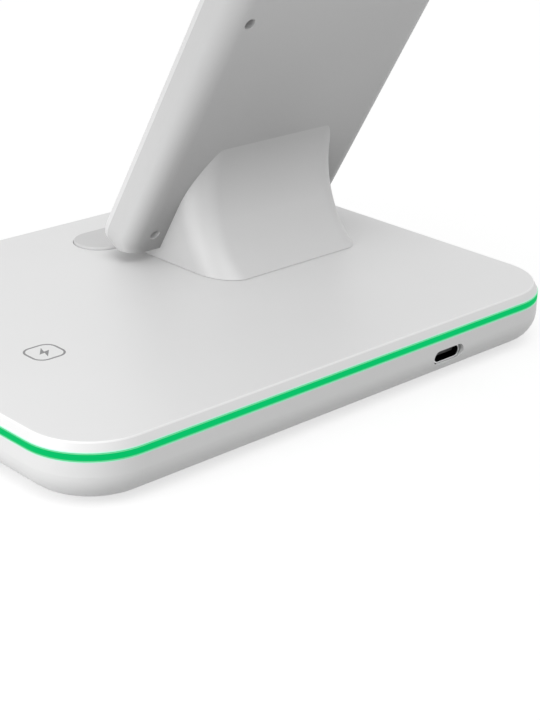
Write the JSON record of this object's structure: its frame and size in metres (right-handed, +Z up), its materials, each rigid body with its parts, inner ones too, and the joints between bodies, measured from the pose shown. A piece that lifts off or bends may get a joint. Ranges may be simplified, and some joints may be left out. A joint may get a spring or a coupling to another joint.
{
  "type": "wireless charging stand",
  "caption": "Wireless charger for phone, earbuds and watch: a low rounded base with a lit band round its side, and a tilted phone pad on a swept neck.",
  "frame": {"origin": "centre of the base, on the surface it stands on", "axes": "+X to the user's right along the base's long side, +Y to the rear with the socket, +Z up"},
  "size_m": [0.15, 0.1144, 0.108],
  "materials": {
    "white_housing": "satin moulded white",
    "light_band": "frosted, lit green",
    "foot_rubber": "matt",
    "rest_silicone": "matt",
    "steel_plate": "zinc plated",
    "screw_steel": "plain",
    "socket_steel": "bright",
    "black_plastic": "matt",
    "board_laminate": "solder resist",
    "flex_strip": "white film",
    "lamp_resin": "clear resin",
    "coil_copper": "enamelled wire",
    "ferrite": "sintered sheet",
    "magnet": "plated",
    "carrier_plastic": "natural",
    "lead_jacket": "matt"
  },
  "bodies": {
    "root": {"base_bottom_shell": "white_housing", "base_top_shell": "white_housing", "stand_shell": "white_housing", "pad_front_cover": "white_housing", "light_ring": "light_band", "rubber_feet": "foot_rubber", "phone_rest_strip": "rest_silicone", "ballast_plate": "steel_plate", "neck_bracket": "steel_plate", "base_screws": "screw_steel", "ballast_screws": "screw_steel", "board_screws": "screw_steel", "neck_screws": "screw_steel", "pad_screws": "screw_steel", "usb_c_shell": "socket_steel", "usb_c_tongue": "black_plastic", "driver_chips": "black_plastic", "lead_connector": "black_plastic", "terminal_block": "black_plastic", "main_board": "board_laminate", "led_strip": "flex_strip", "led_chips": "lamp_resin", "earbud_coil": "coil_copper", "watch_coil": "coil_copper", "phone_coil_upper": "coil_copper", "phone_coil_lower": "coil_copper", "earbud_ferrite": "ferrite", "watch_ferrite": "ferrite", "phone_ferrite": "ferrite", "watch_magnet": "magnet", "coil_carrier": "carrier_plastic", "earbud_lead": "lead_jacket", "watch_lead": "lead_jacket", "pad_lead": "lead_jacket"}
  },
  "joints": []
}
